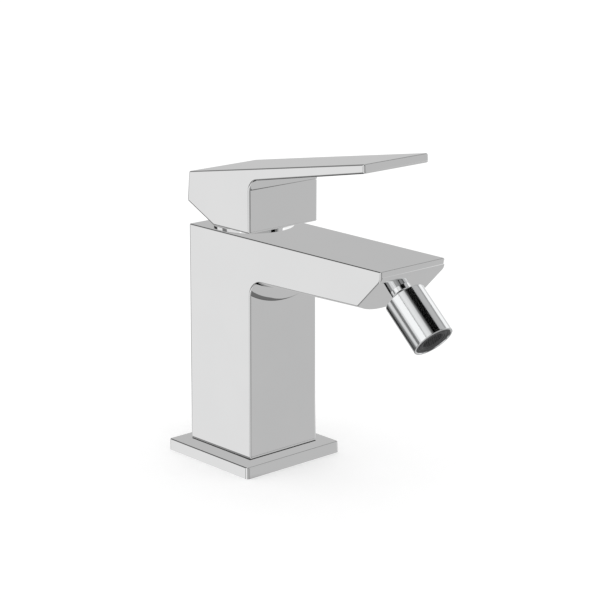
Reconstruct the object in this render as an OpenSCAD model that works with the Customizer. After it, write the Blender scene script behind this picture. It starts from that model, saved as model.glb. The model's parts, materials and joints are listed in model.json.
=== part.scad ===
// Single-lever deck mixer with a flat block body, a plate lever and a swivelling ball-joint nozzle.
// Millimetres. The origin is the centre of the base plate's underside, on the deck.
// +Z is up and the spout points along -Y.

/* [Base plate] */
// Side of the square base plate
plate_w = 62; // [58:0.5:80]
// Thickness of the base plate
plate_t = 6; // [4:0.5:9]
// Corner radius of the base plate, seen from above
plate_corner_r = 1.5; // [0.5:0.5:6]
// Inner radius of the deck gasket
gasket_r = 24; // [22:0.5:25]
// Width of the deck gasket
gasket_w = 4; // [2:0.5:4]
// Thickness of the deck gasket, let into the plate
gasket_t = 2; // [1:0.25:3]

/* [Body] */
// Width of the body at the back of its foot
body_w = 45.4; // [43:0.2:50]
// Depth of the column, front to back
col_d = 46.4; // [44:0.2:52]
// Height of the body's flat top above the deck
body_h = 120.5; // [105:0.5:150]
// Lean of each flank inwards towards the top, in degrees
draft_deg = 0.29; // [0:0.01:0.6]
// Lean of each flank inwards towards the nose, in degrees
taper_deg = 0.49; // [0:0.01:0.8]
// Outer radius of the boss that passes through the base plate
boss_r = 17.25; // [16.5:0.25:18]
// Radius of the opening in the boss for the hoses and the stud
service_r = 15.2; // [14:0.1:16]
// Radius of the hollow core of the column
core_r = 18; // [16.5:0.25:19]
// Height above the deck at which the hollow core starts to widen
core_z = 12; // [9:0.5:16]
// Thickness of the solid floor between the hollow core and the cartridge
floor_t = 26; // [18:0.5:34]

/* [Spout] */
// Reach of the nose from the column's axis
spout_reach = 114.2; // [100:0.2:140]
// Height of the upright face of the nose
nose_h = 4.5; // [3:0.25:7]
// Drop of the 45 degree face under the nose
slope_drop = 14.1; // [12:0.1:17]
// Fall of the spout's lower edge towards the column, in degrees
under_deg = 1.67; // [0:0.05:3]
// Height of the arc across the spout's rounded underside
under_sag = 5.8; // [4:0.1:7]
// Fillet radius between the underside and the column
corner_r = 8; // [4:0.5:12]
// Radius of the water channel in the spout
channel_r = 4.5; // [3:0.25:5]

/* [Inlets and fixing] */
// Thread radius of the fixing stud's hole
stud_r = 4; // [3:0.5:4]
// Depth of the fixing stud's hole
stud_depth = 14; // [10:0.5:15]
// Distance of the fixing stud's hole behind the centre
stud_y = 2; // [1:0.25:3]
// Thread radius of each hose inlet
inlet_r = 5; // [4.5:0.25:5]
// Depth of each hose inlet's thread
inlet_depth = 12; // [9:0.5:14]
// Distance of each hose inlet from the centre, sideways
inlet_x = 8.4; // [8.2:0.1:8.6]
// Distance of the hose inlets in front of the centre
inlet_y = 5.5; // [5.2:0.1:5.8]

/* [Cartridge] */
// Radius of the cartridge's bore in the body
bore_r = 17.7; // [17.5:0.1:18]
// Thread radius of the cartridge nut
nut_r = 19; // [18.8:0.1:19.5]
// Height of the cartridge nut
nut_h = 5.3; // [4.5:0.1:6]
// Outer radius of the cartridge housing
skirt_r = 16.2; // [15.9:0.1:16.4]
// Wall of the cartridge housing
skirt_wall = 1.9; // [1.4:0.1:2]
// Thickness of the cartridge's bottom cap
cap_t = 5.5; // [4.5:0.25:7]
// Thickness of the fixed ceramic disc
fixed_t = 4; // [3:0.25:5]
// Thickness of the moving ceramic disc
moving_t = 3; // [2.5:0.25:4]
// Radius of the moving ceramic disc
moving_r = 11.5; // [10.8:0.1:11.6]
// Thickness of the carrier that slides the moving disc
carrier_t = 4.5; // [4:0.25:5.5]
// Radius of the turret that the lever turns
turret_r = 12; // [11.6:0.1:12.2]
// Radius of each water port
port_r = 2.8; // [2:0.1:3]

/* [Lever linkage] */
// Distance of the pivot pin behind the column's axis
pivot_y = 5; // [4.6:0.1:5.2]
// Height of the pivot pin over the cartridge's shoulder
pivot_rise = 2; // [1.5:0.25:3]
// Radius of the pivot pin
pin_r = 1.5; // [1:0.1:1.8]
// Width of the stem, side to side
stem_w = 8; // [7:0.25:8.5]
// Depth of the stem, front to back
stem_d = 6; // [5:0.25:6.5]
// Height of the stem over the handle's underside
stem_up = 18; // [17:0.5:20]
// Greatest lift of the lever, in degrees
lift_deg = 20; // [16:1:22]
// Greatest swing of the lever to each side, in degrees
swing_deg = 45; // [35:1:50]

/* [Cover ring] */
// Radius of the ring between body and handle
ring_r = 21.3; // [20.5:0.1:21.8]
// Height of the ring over the body's top
ring_h = 1.8; // [1.4:0.1:1.9]

/* [Handle] */
// Gap between the body's top and the handle's underside
handle_gap = 2.4; // [2.2:0.1:4]
// Width of the handle's block
handle_w = 44.5; // [42:0.25:48]
// Distance of the block's front face from the column's axis
handle_front = 23.5; // [22.5:0.25:26]
// Distance of the block's back edge from the column's axis
handle_back = 24; // [22:0.25:26]
// Height of the back edge over the handle's underside
back_edge_h = 9.3; // [7.5:0.1:10.5]
// Height of the block's back top edge over the underside
back_top_h = 24.5; // [23:0.25:30]
// Lean of the block's back face towards the front
back_lean = 1.5; // [0:0.25:3]
// Distance behind the axis at which the underside turns up
turn_y = 4.6; // [3:0.1:5.2]
// Rise of the handle's top towards the tip, in degrees
top_deg = 9.73; // [5:0.1:14]
// Reach of the lever's tip from the column's axis
lever_reach = 102.3; // [85:0.5:125]
// Thickness of the lever at the block
root_t = 5.8; // [4.5:0.1:7]
// Thickness of the lever at its tip
tip_t = 3.8; // [3:0.1:5]
// Width of the lever at its tip
tip_w = 41.2; // [36:0.2:44]
// Fillet radius between the block and the lever's underside
lever_fillet_r = 6.5; // [3:0.5:9]
// Wall of the hollow block
handle_wall = 3.5; // [2.5:0.25:4]
// Radius of the grub screw
grub_r = 2.5; // [2:0.1:2.8]
// Radius of the plug that hides the grub screw
plug_r = 3.3; // [3.2:0.1:3.8]

/* [Nozzle] */
// Radius of the ball
ball_r = 8; // [7.6:0.1:8.2]
// Distance of the ball's centre from the sloping face
ball_drop = 8.3; // [8.1:0.1:9]
// Radius of the ball's neck
neck_r = 5; // [4.6:0.1:5.1]
// Distance of the neck down the sloping face from the nose
neck_down = 12.3; // [11.5:0.1:13]
// Length of the neck's thread in the nose
shank_l = 5; // [4:0.25:6]
// Radius of the waterway through the ball
way_r = 3; // [2:0.1:3.2]
// Outer radius of the swivel sleeve
sleeve_r = 10.15; // [10.1:0.05:11]
// Length of the swivel sleeve
sleeve_l = 25.7; // [24.5:0.1:32]
// Height of the sleeve's rim over the ball's centre
rim_up = 3.6; // [3:0.1:3.8]
// Angle of the sleeve's axis from the vertical, in degrees
sleeve_deg = 48; // [40:0.5:50]
// Wall of the sleeve round the aerator
sleeve_wall = 0.8; // [0.7:0.05:1]
// Radius of the aerator's outlet
outlet_r = 6.2; // [5:0.1:7]

/* [Fits] */
// Gap of a running fit
run = 0.06; // [0.04:0.01:0.09]
// Gap of a seated fit that doesn't move
seat = 0.05; // [0.02:0.01:0.1]
// Gap between moving pieces that don't bear on each other
clear = 0.4; // [0.3:0.05:0.5]

/* [Hidden] */
$fn = 96;
big = 400;
// More than any coincident cut needs to pass right through a face
eps = 0.5;
// The cartridge's levels, worked out downwards from the body's top
nut_drop = 0.2;
nut_z1 = body_h - nut_drop;
nut_z0 = nut_z1 - nut_h;
flange_t = 1;
shoulder_z = nut_z0 - flange_t;
collar_h = 2;
collar_z = shoulder_z - collar_h;
ledge_drop = 5;
flange_z1 = shoulder_z - ledge_drop;
turret_flange_t = 3;
flange_z0 = flange_z1 - turret_flange_t;
carrier_z1 = flange_z0 - clear;
carrier_z0 = carrier_z1 - carrier_t;
moving_z0 = carrier_z0 - moving_t;
fixed_z0 = moving_z0 - fixed_t;
cap_z0 = fixed_z0 - cap_t;
// The port seals stand out of the cap, so the cartridge rests on them
seal_proud = 0.5;
seal_pocket = 1.5;
seal_w = 1.8;
seat_z = cap_z0 - seal_proud;
floor_z = seat_z - floor_t;
port_x = 8.2;
port_y = 4.4;
outlet_port_r = 4;
outlet_port_y = 6.5;
// Radii inside the cartridge
disc_room_r = skirt_r - skirt_wall;
fixed_r = disc_room_r - seat;
cap_r = skirt_r + 0.6;
collar_r = bore_r - 0.1;
nut_in_r = turret_r + 2.8;
neck_out_r = nut_in_r - 0.2;
neck_top_z = nut_z1 - 1.3;
o_wire_r = 0.6;
ring_skirt_r = nut_in_r + 1.2;
ring_skirt_h = 2.1;
ring_wire_r = 0.6;
// The seal in the column's foot
foot_seal_r = 19.2;
foot_seal_w = 2;
foot_seal_t = 1.5;
// The linkage
pivot_z = shoulder_z + pivot_rise;
foot_r = 2.4;
foot_z = carrier_z1 - 1.1;
foot_drop = pivot_z - foot_z;
travel = foot_drop * lift_deg * PI / 180;
disc_y = travel / 2;
leg_d = 4;
leg_z = shoulder_z - 2;
flat_x = 9.2;
slot_w = stem_w + 2 * clear;
swing_up = nut_z1 - pivot_z;
slot_back = pivot_y + swing_up * tan(lift_deg) + stem_d / 2 / cos(lift_deg) + clear;
slot_front = pivot_y - (pivot_z - flange_z0) * tan(lift_deg) - leg_d / 2 / cos(lift_deg) - clear;
lug_half_deg = 10;
lug_r = turret_r + 2;
stop_half_deg = 7;
stop_deg = swing_deg + lug_half_deg + stop_half_deg + 2;
// The nose's sloping face runs at 45 degrees
slope_z1 = body_h - nose_h;
slope_z0 = slope_z1 - slope_drop;
slope_y0 = spout_reach - slope_drop;
col_y = col_d / 2;
side_half = body_w / 2 - (col_y + slope_y0) * tan(taper_deg);
under_r = (side_half * side_half + under_sag * under_sag) / (2 * under_sag);
under_deep = 12;
function edge_z(y) = slope_z0 - (slope_y0 - y) * tan(under_deg);
channel_z = collar_z - channel_r - 0.5;
channel_short = 18.2;
channel_y = spout_reach - channel_short;
// The ball hangs square to the sloping face
neck_y = spout_reach - neck_down * cos(45);
neck_z = slope_z1 - neck_down * sin(45);
ball_y = neck_y + ball_drop * sin(45);
ball_z = neck_z - ball_drop * cos(45);
neck_collar_r = neck_r + 0.7;
neck_collar_t = 1;
shank_r = neck_r;
thread_runout = 3.5;
thread_depth = shank_l + thread_runout;
// Levels in the sleeve, downwards from the ball's centre
sleeve_z0 = rim_up - sleeve_l;
seat_bore_r = ball_r + 0.35;
ball_seat_z1 = -4.2;
ball_seat_z0 = -9.6;
ball_seal_t = 0.6;
ball_seal_deg0 = 28;
ball_seal_deg1 = 52;
washer_t = 1.4;
aerator_r = sleeve_r - sleeve_wall;
aerator_z1 = ball_seat_z0 - washer_t;
aerator_recess = 0.3;
aerator_z0 = sleeve_z0 + aerator_recess;
aerator_wall = 1.3;
aerator_floor = 1;
regulator_t = 2;
screen_t = 0.5;
screen_z1 = aerator_z1 - regulator_t;
// The handle, as seen from the side
handle_z = body_h + handle_gap;
back_z = handle_z + back_edge_h;
top_z = handle_z + back_top_h;
top_y = handle_back - back_lean;
function lever_top_z(y) = top_z + (top_y - y) * tan(top_deg);
tip_lean = 0.3;
root_z = lever_top_z(-handle_front) - root_t;
tip_z = lever_top_z(-lever_reach) - tip_t;
tip_y = lever_reach + tip_lean;
lever_under_deg = atan((tip_z - root_z) / (tip_y - handle_front));
turn_deg = atan(back_edge_h / (handle_back - turn_y));
socket_wall = 3.6;
stem_z1 = handle_z + stem_up;
grub_down = 4;
grub_z = stem_z1 - grub_down;
grub_l = 9;
plug_l = 3;
plug_y1 = handle_back - (grub_z - back_z) / (back_top_h - back_edge_h) * back_lean - 0.15;

// A square with round corners, centred
module rounded_square(w, r) {
    square([w - 2 * r, w], center = true);
    square([w, w - 2 * r], center = true);
    for (x = [-1, 1], y = [-1, 1])
        translate([x * (w / 2 - r), y * (w / 2 - r)])
            circle(r = r);
}

// A plain ring from z0 to z1
module ring(r_out, r_in, z0, z1) {
    translate([0, 0, z0])
        difference() {
            cylinder(r = r_out, h = z1 - z0);
            translate([0, 0, -eps])
                cylinder(r = r_in, h = z1 - z0 + 2 * eps);
        }
}

// A round bar from z0 to z1
module bar(r, z0, z1) {
    translate([0, 0, z0])
        cylinder(r = r, h = z1 - z0);
}

// An O-ring whose wire is centred at radius r and height z
module o_ring(r, z, wire_r) {
    translate([0, 0, z])
        rotate_extrude()
            translate([r, 0])
                circle(r = wire_r, $fn = 32);
}

// A side view in y and z, made w wide along x
module side_on(w) {
    rotate([90, 0, 90])
        linear_extrude(height = w, center = true)
            children();
}

// A sector of a ring, centred on the direction of +Y
module sector(r_out, r_in, half_deg, z0, z1) {
    reach = r_out * 1.5;
    translate([0, 0, z0])
        linear_extrude(height = z1 - z0)
            intersection() {
                difference() {
                    circle(r = r_out);
                    circle(r = r_in);
                }
                polygon([
                    [0, 0],
                    [reach * sin(half_deg), reach * cos(half_deg)],
                    [-reach * sin(half_deg), reach * cos(half_deg)]
                ]);
            }
}

// Everything outside the two leaning flanks
module beyond_flanks() {
    for (side = [0, 1])
        mirror([side, 0, 0])
            translate([body_w / 2, col_y, plate_t])
                rotate([0, -draft_deg, -taper_deg])
                    translate([0, -big / 2, -big / 2])
                        cube(big);
}

// The cylinder whose lowest strip is the spout's rounded underside
module underside_round(l) {
    translate([0, -slope_y0, slope_z0 + under_r - under_sag])
        rotate([-90 - under_deg, 0, 0])
            translate([0, 0, -l / 2])
                cylinder(r = under_r, h = l, $fn = 240);
}

// Fills the corner between the rounded underside and the column's front face
module underside_fillet() {
    y = -col_y - corner_r;
    translate([0, y, edge_z(-y) + under_r - under_sag])
        rotate([-90, 0, 0])
            rotate_extrude($fn = 240)
                difference() {
                    translate([under_r - 1, 0])
                        square([corner_r + 1, corner_r + 1]);
                    translate([under_r + corner_r, 0])
                        circle(r = corner_r);
                }
}

// The block column and the spout, before anything is bored
module body_block() {
    difference() {
        union() {
            translate([-body_w / 2, -col_y, plate_t])
                cube([body_w, col_d, body_h - plate_t]);
            intersection() {
                side_on(body_w)
                    polygon([
                        [0, body_h],
                        [-spout_reach, body_h],
                        [-spout_reach, slope_z1],
                        [-slope_y0 + under_sag + 1, slope_z0 - under_sag - 1],
                        [0, slope_z0 - under_sag - under_deep]
                    ]);
                underside_round(big);
            }
            intersection() {
                underside_fillet();
                translate([-body_w / 2, -col_y - corner_r, 0])
                    cube([body_w, corner_r + 1, slope_z1]);
            }
        }
        beyond_flanks();
    }
}

// Brass casting: column and spout in one, with the bores machined into it
module body_casting() {
    color("gainsboro")
        difference() {
            union() {
                body_block();
                bar(boss_r, 0, plate_t + eps);
            }
            bar(service_r, -eps, core_z + eps);
            bar(core_r, core_z, floor_z);
            translate([0, stud_y])
                bar(stud_r, floor_z - eps, floor_z + stud_depth);
            for (side = [-1, 1]) {
                translate([side * inlet_x, -inlet_y])
                    bar(inlet_r, floor_z - eps, floor_z + inlet_depth);
                translate([side * port_x, -port_y])
                    bar(port_r + 0.4, floor_z + inlet_depth - eps, seat_z + eps);
            }
            bar(bore_r, seat_z, shoulder_z + eps);
            bar(nut_r, shoulder_z, body_h + eps);
            spout_waterway();
            foot_groove();
        }
}

// The channel along the spout and the threaded hole for the ball's neck
module spout_waterway() {
    translate([0, 0, channel_z])
        rotate([90, 0, 0])
            bar(channel_r, bore_r - 2, channel_y);
    translate([0, -channel_y, channel_z])
        sphere(r = channel_r);
    translate([0, -neck_y, neck_z])
        rotate([-45, 0, 0])
            bar(shank_r + seat, -eps, thread_depth);
}

// The groove in the column's foot for the seal against the base plate
module foot_groove() {
    ring(foot_seal_r + foot_seal_w, foot_seal_r, plate_t - eps, plate_t + foot_seal_t);
}

// Rubber seal between the column's foot and the base plate
module foot_seal() {
    color("dimgray")
        ring(foot_seal_r + foot_seal_w - seat, foot_seal_r + seat, plate_t, plate_t + foot_seal_t);
}

// Square plate that spreads the load on the deck
module base_plate() {
    color("silver")
        difference() {
            linear_extrude(height = plate_t)
                rounded_square(plate_w, plate_corner_r);
            bar(boss_r + seat, -eps, plate_t + eps);
            ring(gasket_r + gasket_w, gasket_r, -eps, gasket_t);
        }
}

// Flat rubber ring let into the plate's underside
module base_gasket() {
    color("dimgray")
        ring(gasket_r + gasket_w - seat, gasket_r + seat, 0, gasket_t);
}

// Plastic housing of the cartridge, clamped by its flange
module cartridge_housing() {
    color("whitesmoke")
        difference() {
            union() {
                bar(skirt_r, fixed_z0, collar_z + eps);
                bar(collar_r, collar_z, shoulder_z + flange_t / 2);
                bar(nut_r - 0.2, shoulder_z, nut_z0);
                bar(neck_out_r, nut_z0 - eps, neck_top_z);
                for (side = [-1, 1])
                    rotate([0, 0, side * stop_deg])
                        sector(lug_r, turret_r + run, stop_half_deg, neck_top_z - eps, nut_z1 - 0.1);
            }
            bar(disc_room_r, fixed_z0 - eps, flange_z1 + clear);
            bar(turret_r + run, flange_z1, nut_z1 + eps);
            ring(collar_r + eps, collar_r - 2 * o_wire_r, collar_z + 0.3, collar_z + 0.5 + 2 * o_wire_r);
        }
}

// O-ring that keeps the mixed water below the cartridge's collar
module housing_seal() {
    color("black")
        o_ring(bore_r - o_wire_r - seat, collar_z + 0.4 + o_wire_r, o_wire_r);
}

// Bottom cap of the cartridge, with the two inlets and the outlet's window
module cartridge_cap() {
    color("whitesmoke")
        difference() {
            bar(cap_r, cap_z0, fixed_z0);
            for (side = [-1, 1])
                translate([side * port_x, -port_y]) {
                    bar(port_r, cap_z0 - eps, fixed_z0 + eps);
                    ring(port_r + seal_w + seat, port_r - eps, cap_z0 - eps, cap_z0 + seal_pocket);
                }
            translate([0, outlet_port_y])
                bar(outlet_port_r, cap_z0 + 1.5, fixed_z0 + eps);
            translate([-outlet_port_r, outlet_port_y, cap_z0 + 1.5])
                cube([2 * outlet_port_r, cap_r, cap_t - 3]);
        }
}

// Two rubber rings between the cartridge and its seat in the body
module port_seals() {
    color("black")
        for (side = [-1, 1])
            translate([side * port_x, -port_y])
                ring(port_r + seal_w, port_r + seat, seat_z, cap_z0 + seal_pocket);
}

// Ceramic disc that stays still
module fixed_disc() {
    color("white")
        difference() {
            bar(fixed_r, fixed_z0, moving_z0);
            for (side = [-1, 1])
                translate([side * port_x, -port_y])
                    bar(port_r, fixed_z0 - eps, moving_z0 + eps);
            translate([0, outlet_port_y])
                bar(outlet_port_r, fixed_z0 - eps, moving_z0 + eps);
        }
}

// Ceramic disc that slides and turns over the ports; its pocket joins them
module moving_disc() {
    pocket_t = moving_t / 2;
    color("ivory")
        difference() {
            translate([0, disc_y])
                bar(moving_r, moving_z0, carrier_z0);
            intersection() {
                translate([0, disc_y])
                    bar(moving_r - 1.5, moving_z0 - eps, moving_z0 + pocket_t);
                translate([-big / 2, port_r - port_y + 0.6, moving_z0 - eps])
                    cube([big, big, pocket_t + eps]);
            }
        }
}

// Plastic carrier: the stem's foot pushes it along the turret's legs
module disc_carrier() {
    foot_gap = 0.25;
    color("tan")
        difference() {
            intersection() {
                translate([0, disc_y])
                    bar(moving_r, carrier_z0, carrier_z1);
                translate([-flat_x, -big / 2, carrier_z0])
                    cube([2 * flat_x, big, carrier_t]);
            }
            translate([-stem_w / 2 - clear, pivot_y - foot_r - foot_gap, carrier_z0 + 0.8])
                cube([stem_w + 2 * clear, 2 * (foot_r + foot_gap), carrier_t]);
        }
}

// Plastic turret: turns in the housing with the lever and carries its pivot
module turret() {
    leg_x = flat_x + clear;
    leg_t = 2.2;
    leg_l = 12;
    flange_r = disc_room_r - clear;
    color("lightsteelblue")
        difference() {
            union() {
                bar(turret_r, flange_z0, nut_z1);
                bar(flange_r, flange_z0, flange_z1);
                for (side = [0, 1])
                    mirror([side, 0, 0])
                        translate([leg_x, -leg_l / 2, carrier_z0 + clear])
                            cube([leg_t, leg_l, flange_z0 - carrier_z0]);
                sector(lug_r, turret_r - 1, lug_half_deg, neck_top_z + clear, nut_z1);
            }
            translate([-slot_w / 2, slot_front, flange_z0 - eps])
                cube([slot_w, slot_back - slot_front, nut_z1 - flange_z0 + 2 * eps]);
            translate([0, pivot_y, pivot_z])
                rotate([0, 90, 0])
                    bar(pin_r, -turret_r, turret_r);
        }
}

// Steel pin that the stem rocks on, pressed into the turret
module pivot_pin() {
    pin_back = pivot_y + pin_r;
    pin_half = sqrt(turret_r * turret_r - pin_back * pin_back) - 0.3;
    color("lightgray")
        translate([0, pivot_y, pivot_z])
            rotate([0, 90, 0])
                bar(pin_r, -pin_half, pin_half);
}

// Brass stem: from the disc carrier, over the pin, up into the handle
module stem() {
    color("goldenrod")
        difference() {
            union() {
                translate([-stem_w / 2, pivot_y - stem_d / 2, leg_z])
                    cube([stem_w, stem_d, stem_z1 - leg_z]);
                translate([-stem_w / 2, pivot_y - leg_d / 2, foot_z])
                    cube([stem_w, leg_d, leg_z - foot_z + eps]);
                translate([0, pivot_y, foot_z])
                    rotate([0, 90, 0])
                        bar(foot_r, -stem_w / 2, stem_w / 2);
            }
            translate([0, pivot_y, pivot_z])
                rotate([0, 90, 0])
                    bar(pin_r + run, -stem_w, stem_w);
        }
}

// Brass nut that clamps the cartridge
module cartridge_nut() {
    key_w = 3;
    color("goldenrod")
        difference() {
            bar(nut_r - seat, nut_z0, nut_z1);
            bar(nut_in_r, nut_z0 - eps, nut_z1 + eps);
            bar(ring_skirt_r + 1, nut_z1 - ring_skirt_h - 0.3, nut_z1 + eps);
            for (turn = [0:90:270])
                rotate([0, 0, turn])
                    translate([ring_skirt_r, -key_w / 2, nut_z1 - 2])
                        cube([nut_r, key_w, 2 + eps]);
        }
}

// The cover ring's skirt goes down into the nut and is held there by an O-ring
module cover_ring() {
    color("gainsboro")
        difference() {
            union() {
                bar(ring_r, body_h, body_h + ring_h);
                bar(ring_skirt_r, nut_z1 - ring_skirt_h, body_h + eps);
            }
            bar(nut_in_r, nut_z1 - ring_skirt_h - eps, body_h + ring_h + eps);
            ring(ring_skirt_r + eps, ring_skirt_r - 0.35, nut_z1 - 1.7, nut_z1 - 0.3);
        }
}

// O-ring round the cover ring's skirt
module cover_ring_seal() {
    color("black")
        o_ring(ring_skirt_r + 1 - ring_wire_r - seat, nut_z1 - 1, ring_wire_r);
}

// The handle's outline from the side: a block with a long flat lever
module handle_side() {
    a = lever_under_deg;
    r = lever_fillet_r;
    c = [-handle_front - r, root_z + r * tan(a) - r / cos(a)];
    polygon([
        [-handle_front, handle_z],
        for (t = [0:6:84])
            let (s = t * (90 - a) / 84)
            [c[0] + r * cos(s), c[1] + r * sin(s)],
        [-tip_y, tip_z],
        [-lever_reach, tip_z + tip_t],
        [top_y, top_z],
        [handle_back, back_z],
        [turn_y, handle_z]
    ]);
}

// The handle's outline from above: parallel at the block, narrower at the tip
module handle_plan() {
    polygon([
        [-handle_w / 2, handle_back],
        [-handle_w / 2, -handle_front],
        [-tip_w / 2, -tip_y],
        [tip_w / 2, -tip_y],
        [handle_w / 2, -handle_front],
        [handle_w / 2, handle_back]
    ]);
}

// The hollow of the block, open below; its walls follow the outside
module handle_hollow() {
    w = handle_wall;
    up = w / cos(turn_deg);
    y1 = handle_back - w;
    side_on(handle_w - 2 * w)
        polygon([
            [w - handle_front, handle_z - eps],
            [w - handle_front, lever_top_z(-handle_front) - w - root_t],
            [top_y - w, lever_top_z(top_y) - w - 1],
            [y1, back_z + up],
            [turn_y - (up + eps) / tan(turn_deg), handle_z - eps]
        ]);
}

// The boss inside the block that takes the stem and the grub screw
module stem_socket_boss() {
    back_wall = socket_wall + 3;
    translate([-stem_w / 2 - socket_wall, pivot_y - stem_d / 2 - socket_wall, handle_z - eps])
        cube([stem_w + 2 * socket_wall, stem_d + socket_wall + back_wall, top_z - handle_z]);
}

// Cast handle: block and lever in one, with the stem's socket inside
module handle() {
    color("whitesmoke")
        difference() {
            intersection() {
                side_on(handle_w)
                    handle_side();
                translate([0, 0, handle_z])
                    linear_extrude(height = big)
                        handle_plan();
            }
            difference() {
                handle_hollow();
                stem_socket_boss();
            }
            translate([-stem_w / 2 - seat, pivot_y - stem_d / 2 - seat, handle_z - eps])
                cube([stem_w + 2 * seat, stem_d + 2 * seat, stem_up + seat + eps]);
            translate([0, pivot_y, grub_z])
                rotate([-90, 0, 0])
                    bar(grub_r, 0, handle_back);
            translate([0, 0, grub_z])
                rotate([-90, 0, 0])
                    bar(plug_r, plug_y1 - plug_l, handle_back + eps);
        }
}

// Set screw with a hexagon socket, which clamps the handle on the stem
module grub_screw() {
    y0 = pivot_y + stem_d / 2;
    hex_depth = 2.5;
    hex_r = 1.45;
    color("dimgray")
        translate([0, 0, grub_z])
            rotate([-90, 0, 0])
                difference() {
                    bar(grub_r - seat, y0, y0 + grub_l);
                    translate([0, 0, y0 + grub_l - hex_depth])
                        cylinder(r = hex_r, h = hex_depth + eps, $fn = 6);
                }
}

// Plain plug over the grub screw's hole
module screw_plug() {
    color("gray")
        translate([0, 0, grub_z])
            rotate([-90, 0, 0])
                bar(plug_r - seat, plug_y1 - plug_l, plug_y1);
}

// Puts what hangs from the ball's centre in place, its own +Z towards the nose
module at_ball(deg) {
    translate([0, -ball_y, ball_z])
        rotate([-deg, 0, 0])
            children();
}

// Brass neck that screws into the nose and ends in the ball
module ball_nipple() {
    groove_z = ball_drop + 0.5;
    key_r = way_r + 0.6;
    key_deep = 5.5;
    color("gainsboro")
        at_ball(45)
            difference() {
                union() {
                    sphere(r = ball_r);
                    bar(neck_r, 0, ball_drop);
                    bar(neck_collar_r, ball_drop - neck_collar_t, ball_drop);
                    bar(shank_r - seat, ball_drop - eps, ball_drop + shank_l);
                }
                bar(way_r, -ball_r - eps, ball_drop + shank_l + eps);
                translate([0, 0, -ball_r - eps])
                    cylinder(r = key_r, h = key_deep + eps, $fn = 6);
                ring(shank_r + eps, shank_r - 1, groove_z, groove_z + 1.3);
            }
}

// O-ring in the neck's thread relief
module nipple_seal() {
    wire_r = 0.48;
    color("black")
        at_ball(45)
            o_ring(shank_r - wire_r - seat / 2, ball_drop + 1.15, wire_r);
}

// Rubber seal under the ball: a slice of a hollow ball, so it slides on the ball and in its cup
module ball_seal() {
    reach = 2 * ball_r;
    color("black")
        at_ball(sleeve_deg)
            intersection() {
                difference() {
                    sphere(r = ball_r + run + ball_seal_t);
                    sphere(r = ball_r + run);
                }
                rotate_extrude()
                    polygon([
                        [0, 0],
                        [reach * sin(ball_seal_deg0), -reach * cos(ball_seal_deg0)],
                        [reach * sin(ball_seal_deg1), -reach * cos(ball_seal_deg1)]
                    ]);
            }
}

// Plastic cup that presses the seal and the ball up against the sleeve's lip
module ball_seat() {
    color("ivory")
        at_ball(sleeve_deg)
            difference() {
                bar(seat_bore_r - seat, ball_seat_z0, ball_seat_z1);
                sphere(r = ball_r + ball_seal_t + 2 * run);
                bar(way_r + 1.9, ball_seat_z0 - eps, ball_seat_z1);
            }
}

// Sleeve that turns on the ball and holds the aerator
module swivel_sleeve() {
    color("silver")
        at_ball(sleeve_deg)
            difference() {
                bar(sleeve_r, sleeve_z0, rim_up);
                sphere(r = ball_r + run);
                bar(seat_bore_r, ball_seat_z0 - eps, 0);
                bar(aerator_r, sleeve_z0 - eps, ball_seat_z0);
            }
}

// Rubber washer over the aerator
module aerator_washer() {
    color("dimgray")
        at_ball(sleeve_deg)
            ring(aerator_r - seat, way_r + 2.4, aerator_z1, ball_seat_z0);
}

// Cup-shaped housing of the aerator, screwed into the sleeve from below
module aerator_housing() {
    color("dimgray")
        at_ball(sleeve_deg)
            difference() {
                bar(aerator_r - seat, aerator_z0, aerator_z1);
                bar(aerator_r - aerator_wall, aerator_z0 + aerator_floor, aerator_z1 + eps);
                bar(outlet_r, aerator_z0 - eps, aerator_z1);
            }
}

// Plastic disc that limits the flow, at the top of the aerator
module flow_regulator() {
    jet_r = 0.8;
    jets = 12;
    color("lightgray")
        at_ball(sleeve_deg)
            difference() {
                bar(aerator_r - aerator_wall - seat, screen_z1, aerator_z1);
                for (i = [0:jets - 1])
                    rotate([0, 0, i * 360 / jets])
                        translate([way_r + 1.2, 0])
                            bar(jet_r, screen_z1 - eps, aerator_z1 + eps);
            }
}

// Fine steel screen under the regulator
module aerator_screen() {
    screen_hole_r = 1;
    color("silver")
        at_ball(sleeve_deg)
            ring(aerator_r - aerator_wall - seat, screen_hole_r, screen_z1 - screen_t, screen_z1);
}

// Ribbed core that breaks the water up and shows in the outlet
module aerator_core() {
    top = screen_z1 - screen_t;
    rib_t = 0.7;
    ribs = 5;
    pitch = 2 * outlet_r / ribs;
    color("black")
        at_ball(sleeve_deg)
            union() {
                ring(aerator_r - aerator_wall - seat, outlet_r - 1, aerator_z0 + aerator_floor, top);
                ring(outlet_r - seat, outlet_r - 1, aerator_z0 + 0.4, top);
                intersection() {
                    bar(outlet_r - seat, aerator_z0 + 0.4, aerator_z0 + 3);
                    for (turn = [0, 90])
                        rotate([0, 0, turn])
                            for (i = [1:ribs - 1])
                                translate([i * pitch - outlet_r - rib_t / 2, -big / 2, aerator_z0])
                                    cube([rib_t, big, 3]);
                }
            }
}

body_casting();
base_plate();
base_gasket();
foot_seal();
cartridge_housing();
cartridge_cap();
port_seals();
fixed_disc();
housing_seal();
cartridge_nut();
cover_ring();
cover_ring_seal();
turret();
pivot_pin();
disc_carrier();
moving_disc();
stem();
handle();
grub_screw();
screw_plug();
ball_nipple();
nipple_seal();
ball_seal();
ball_seat();
swivel_sleeve();
aerator_washer();
flow_regulator();
aerator_screen();
aerator_housing();
aerator_core();
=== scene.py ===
import bpy
import bmesh
import json
import math
from mathutils import Matrix, Vector

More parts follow.
